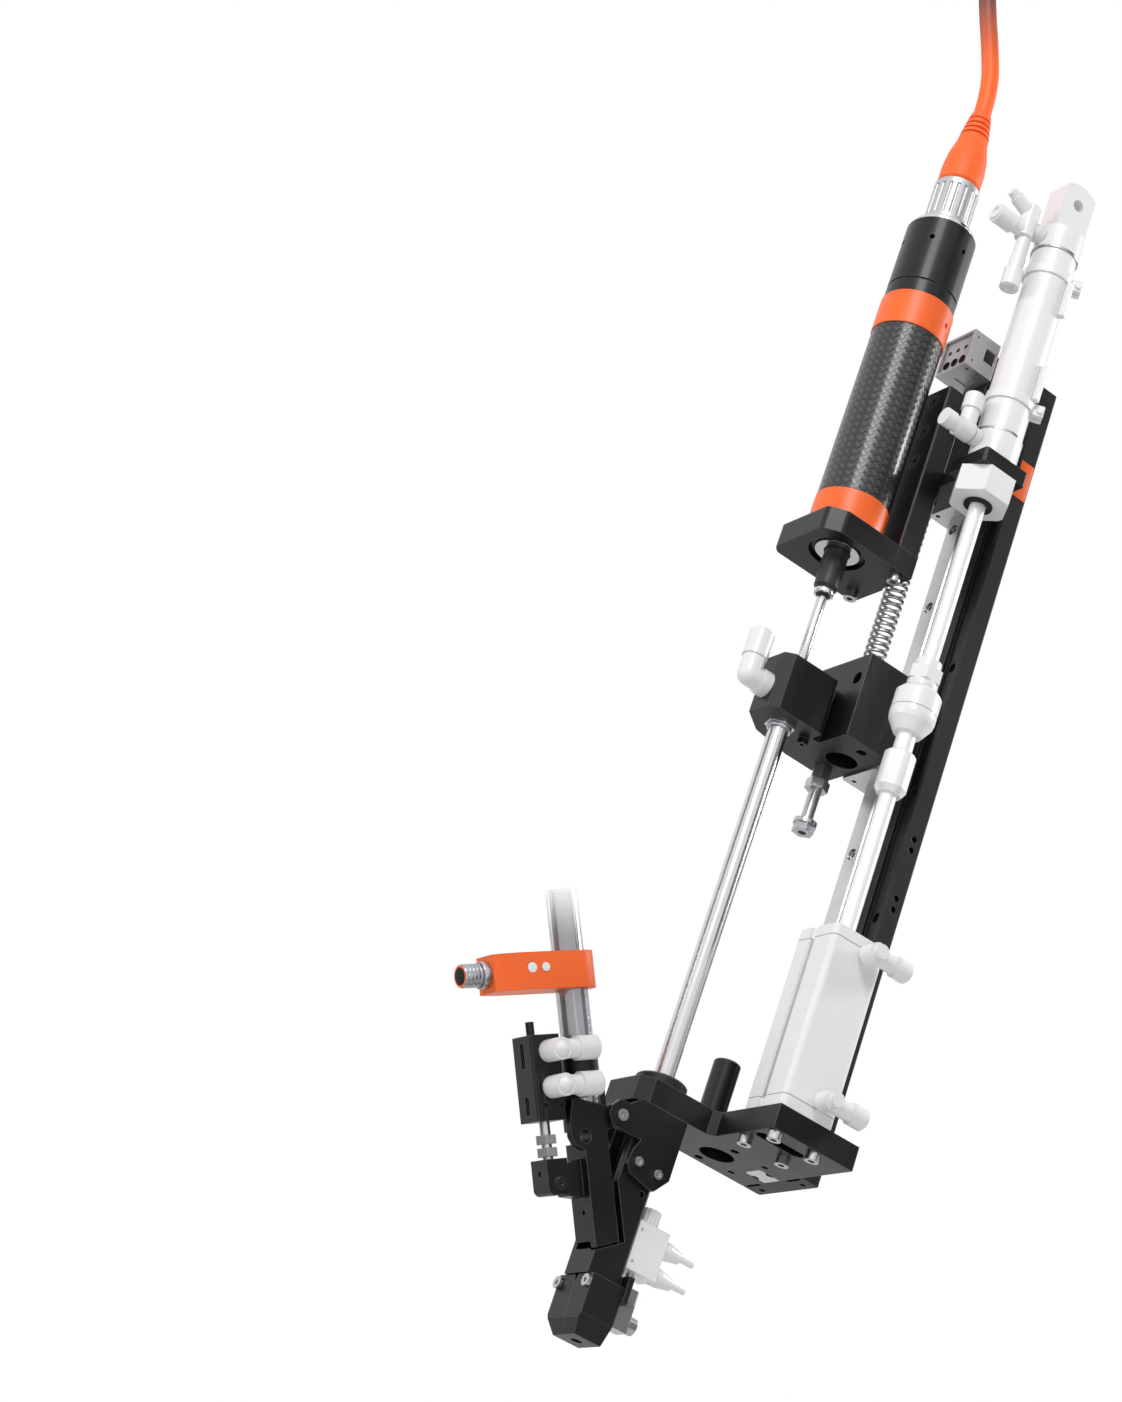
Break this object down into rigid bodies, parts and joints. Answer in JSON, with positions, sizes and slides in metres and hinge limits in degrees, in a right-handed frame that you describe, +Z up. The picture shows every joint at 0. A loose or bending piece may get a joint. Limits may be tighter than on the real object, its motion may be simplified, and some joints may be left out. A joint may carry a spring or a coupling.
{
  "type": "screwdriving spindle module",
  "caption": "Rail-guided screwdriving spindle module with suction tube, two stage air cylinder feed, swinging screw feed arm and opening nose jaws.",
  "frame": {"origin": "centre of the mounting hole pattern on the back face of the backbone profile", "axes": "+Z up along the screwdriving axis, +X out of the back face towards the robot, -X towards the feed arm, Y across the profile"},
  "size_m": [0.2516, 0.1305, 1.0368],
  "materials": {
    "black_anodised": "black anodised, fine satin",
    "black_profile": "black anodised extrusion, satin",
    "rail_steel": "ground steel",
    "steel_bright": "hard chromed, polished",
    "steel_screw": "zinc plated steel",
    "screw_black": "black oxide steel",
    "alu_grey": "clear anodised, satin",
    "orange": "orange anodised, satin",
    "carbon": "woven carbon fibre tube under clear coat",
    "white_coated": "smooth white coating",
    "white_plastic": "moulded, glossy",
    "orange_rubber": "soft moulded",
    "sensor_orange": "moulded",
    "clear_tube": "clear plastic tube",
    "spring_steel": "spring wire"
  },
  "bodies": {
    "backbone": {"backbone_profile": "black_profile", "guide_rail": "rail_steel", "rail_screws": "steel_screw", "base_plate": "black_anodised", "base_plate_screws": "steel_screw", "tube_guide_collar": "black_anodised", "stop_post": "black_anodised", "lower_cylinder_body": "white_coated", "lower_cylinder_rod_head": "white_coated", "lower_flow_fittings": "white_plastic", "nose_body": "black_anodised", "nose_side_plates": "black_anodised", "side_plate_bolts": "steel_screw", "jaw_pins": "steel_screw", "jaw_cylinder": "white_coated", "jaw_cylinder_fittings": "white_plastic"},
    "feed_rods": {"upper_rod": "steel_bright", "floating_joint_body": "white_coated", "lower_rod": "steel_bright"},
    "driver_carriage": {"upper_carriage": "rail_steel", "driver_flange": "black_anodised", "flange_screws": "steel_screw", "motor_bracket": "black_anodised", "bracket_screws": "screw_black", "carriage_adapter": "black_anodised", "return_spring": "spring_steel", "driver_lower_ring": "orange", "output_bearing": "steel_bright", "driver_sleeve": "carbon", "driver_upper_ring": "orange", "driver_end_cap": "black_anodised", "driver_socket": "alu_grey", "cable_boot": "orange_rubber", "power_cable": "orange_rubber", "cable_connector": "steel_bright", "valve_box": "alu_grey", "cylinder_mount_plate": "black_anodised", "upper_cylinder_front_cap": "white_coated", "upper_cylinder_tube": "white_coated", "upper_cylinder_rear_cap": "white_coated", "switch_bands": "white_coated", "reed_switches": "white_plastic", "upper_flow_fittings": "white_plastic"},
    "connector_nut": {"coupling_nut": "alu_grey"},
    "spindle": {"drive_spindle": "screw_black"},
    "mid_carriage": {"lower_carriage": "rail_steel", "intermediate_block": "black_anodised", "suction_tube": "steel_bright", "suction_elbow": "white_plastic", "stop_bolt": "steel_screw"},
    "feed_arm_body": {"feed_arm": "black_anodised", "feed_tube": "clear_tube", "ring_sensor": "sensor_orange", "swing_cylinder": "black_anodised", "swing_fittings": "white_plastic"},
    "swing_rod_body": {"swing_rod": "steel_bright", "swing_clevis": "black_anodised"},
    "front_jaw_body": {"front_jaw": "black_anodised"},
    "rear_jaw_body": {"rear_jaw": "black_anodised"},
    "jaw_yoke_body": {"jaw_yoke": "steel_screw"}
  },
  "joints": [
    {"name": "lower_feed", "type": "slide", "parent": "backbone", "child": "feed_rods", "axis": [0, 0, -1], "range_m": [0, 0.07]},
    {"name": "upper_feed", "type": "slide", "parent": "feed_rods", "child": "driver_carriage", "axis": [0, 0, -1], "range_m": [0, 0.115]},
    {"name": "tube_float", "type": "slide", "parent": "driver_carriage", "child": "mid_carriage", "axis": [0, 0, 1], "range_m": [0, 0.03], "stiffness_N_per_m": 300, "springref_m": -0.05, "deforming": ["return_spring"]},
    {"name": "spindle_turn", "type": "hinge", "parent": "driver_carriage", "child": "spindle", "pos_m": [-0.1045, 0, 0.108], "axis": [0, 0, 1], "continuous": true},
    {"name": "connector_nut_turn", "type": "hinge", "parent": "driver_carriage", "child": "connector_nut", "pos_m": [-0.1045, 0, 0.398], "axis": [0, 0, 1], "continuous": true},
    {"name": "arm_swing", "type": "hinge", "parent": "backbone", "child": "feed_arm_body", "pos_m": [-0.132, 0, -0.277], "axis": [0, 1, 0], "range_deg": [0, 10]},
    {"name": "swing_rod_slide", "type": "slide", "parent": "feed_arm_body", "child": "swing_rod_body", "axis": [0.4848, 0, -0.8746], "range_m": [0, 0.01]},
    {"name": "front_jaw_open", "type": "hinge", "parent": "backbone", "child": "front_jaw_body", "pos_m": [-0.1045, -0.0146, -0.3705], "axis": [-1, 0, 0], "range_deg": [0, 16], "stiffness_Nm_per_rad": 0.05},
    {"name": "rear_jaw_open", "type": "hinge", "parent": "backbone", "child": "rear_jaw_body", "pos_m": [-0.1045, 0.0146, -0.3705], "axis": [1, 0, 0], "range_deg": [0, 16], "stiffness_Nm_per_rad": 0.05},
    {"name": "jaw_yoke_lift", "type": "slide", "parent": "backbone", "child": "jaw_yoke_body", "axis": [0, 0, 1], "range_m": [0, 0.005]}
  ],
  "couplings": [
    {"joint": "rear_jaw_open", "follows": "front_jaw_open", "ratio": 1},
    {"joint": "arm_swing", "follows": "swing_rod_slide", "rad_per_m": 17.45}
  ]
}
